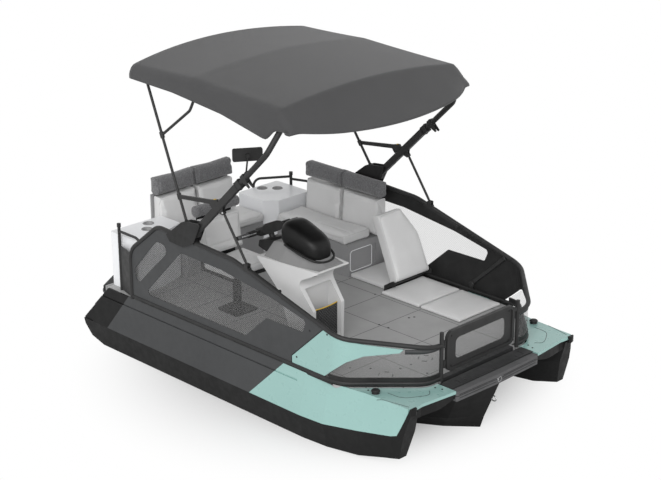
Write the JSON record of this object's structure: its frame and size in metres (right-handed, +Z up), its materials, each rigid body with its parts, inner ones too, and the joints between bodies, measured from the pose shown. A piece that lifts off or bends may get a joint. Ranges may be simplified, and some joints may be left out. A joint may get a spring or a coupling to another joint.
{
  "type": "pontoon boat",
  "caption": "Compact three-hulled pontoon boat with a jet drive, upright helm, lounge, benches, railed deck, bow gate and a folding top on diagonal arms.",
  "frame": {"origin": "floor under the keels, midway between bow and stern and between the sides", "axes": "+X towards the bow, +Y towards port, +Z up"},
  "size_m": [3.9502, 2.346, 2.7385],
  "materials": {
    "hull_black": "satin moulded",
    "panel_grey": "fine-grain moulded",
    "bow_teal": "gel coat",
    "frame_black": "satin powder coat",
    "deck_grey": "moulded grip tiles",
    "vinyl_grey": "stitched marine vinyl",
    "band_cloth": "heather weave",
    "table_grey": "gel coat",
    "console_grey": "satin moulded",
    "pod_black": "gloss",
    "trim_black": "textured",
    "smoke_film": "perforated see-through film",
    "clear_window": "clear sheet",
    "net_cloth": "woven mesh",
    "top_cloth": "coated canvas",
    "jet_alloy": "cast",
    "bumper_rubber": "matt",
    "engine_iron": "painted block"
  },
  "bodies": {
    "boat": {"center_hull": "hull_black", "engine_block": "engine_iron", "sponsons": "hull_black", "side_skins": "panel_grey", "stern_caps": "hull_black", "bow_caps": "bow_teal", "bow_fascias": "hull_black", "jet_pump": "jet_alloy", "deck": "deck_grey", "swim_platform": "deck_grey", "bow_step": "deck_grey", "bow_bumper": "bumper_rubber", "stern_bumpers": "bumper_rubber", "rails": "frame_black", "rail_brackets": "frame_black", "side_panels": "panel_grey", "side_windows": "smoke_film", "bow_side_panels": "bow_teal", "bow_windows": "smoke_film", "bow_window_frames": "trim_black", "stern_rails": "frame_black", "gate_hinges": "frame_black", "console": "console_grey", "console_hood": "console_grey", "console_pod": "pod_black", "console_net": "net_cloth", "helm_dash": "trim_black", "seat_pedestal": "trim_black", "bench_bases": "table_grey", "bench_cushions": "vinyl_grey", "bench_backs": "vinyl_grey", "bench_bands": "band_cloth", "corner_tables": "table_grey", "lounge_pads": "vinyl_grey", "lounge_hinge": "frame_black", "top_fairings": "trim_black"},
    "gate": {"gate_frame": "frame_black", "gate_window": "smoke_film"},
    "handlebar": {"handlebar": "trim_black"},
    "steering_nozzle": {"steering_nozzle": "jet_alloy"},
    "reverse_bucket": {"reverse_bucket": "jet_alloy"},
    "impeller": {"impeller": "jet_alloy"},
    "helm_seat": {"seat_shell": "trim_black", "seat_cushion": "vinyl_grey", "seat_back": "vinyl_grey", "seat_headrest": "band_cloth"},
    "lounge_backrest": {"lounge_backrest": "vinyl_grey"},
    "folding_top": {"top_arms": "frame_black", "top_bows": "frame_black", "canopy": "top_cloth", "mirror": "trim_black"},
    "brace_port": {"top_brace_port": "frame_black"},
    "brace_starboard": {"top_brace_starboard": "frame_black"}
  },
  "joints": [
    {"name": "bow_gate", "type": "hinge", "parent": "boat", "child": "gate", "pos_m": [1.757, -0.43, 0.785], "axis": [0, 0, 1], "range_deg": [0, 90]},
    {"name": "handlebar_turn", "type": "hinge", "parent": "boat", "child": "handlebar", "pos_m": [-0.04, -0.6, 1.4], "axis": [-0.4226, 0, 0.9063], "range_deg": [-25, 25]},
    {"name": "nozzle_turn", "type": "hinge", "parent": "boat", "child": "steering_nozzle", "pos_m": [-1.715, 0, 0.19], "axis": [0, 0, 1], "range_deg": [-20, 20]},
    {"name": "bucket_lift", "type": "hinge", "parent": "boat", "child": "reverse_bucket", "pos_m": [-1.75, 0, 0.19], "axis": [0, -1, 0], "range_deg": [0, 45]},
    {"name": "impeller_spin", "type": "hinge", "parent": "boat", "child": "impeller", "pos_m": [-1.489, 0, 0.19], "axis": [1, 0, 0], "continuous": true},
    {"name": "seat_swivel", "type": "hinge", "parent": "boat", "child": "helm_seat", "pos_m": [-0.455, -0.612, 0.9], "axis": [0, 0, 1], "range_deg": [-75, 75]},
    {"name": "backrest_fold", "type": "hinge", "parent": "boat", "child": "lounge_backrest", "pos_m": [0.262, 0.825, 0.648], "axis": [0, 1, 0], "range_deg": [0, 112]},
    {"name": "top_tilt", "type": "hinge", "parent": "boat", "child": "folding_top", "pos_m": [-0.4, 0, 1.402], "axis": [0, -1, 0], "range_deg": [0, 45]},
    {"name": "brace_swing_port", "type": "hinge", "parent": "folding_top", "child": "brace_port", "pos_m": [-0.045, 1.095, 1.658], "axis": [0, -1, 0], "range_deg": [0, 99]},
    {"name": "brace_swing_starboard", "type": "hinge", "parent": "folding_top", "child": "brace_starboard", "pos_m": [-0.045, -1.095, 1.658], "axis": [0, -1, 0], "range_deg": [0, 99]}
  ],
  "couplings": [
    {"joint": "nozzle_turn", "follows": "handlebar_turn", "ratio": -0.8},
    {"joint": "brace_swing_port", "follows": "top_tilt", "ratio": 2.196},
    {"joint": "brace_swing_starboard", "follows": "top_tilt", "ratio": 2.196}
  ]
}
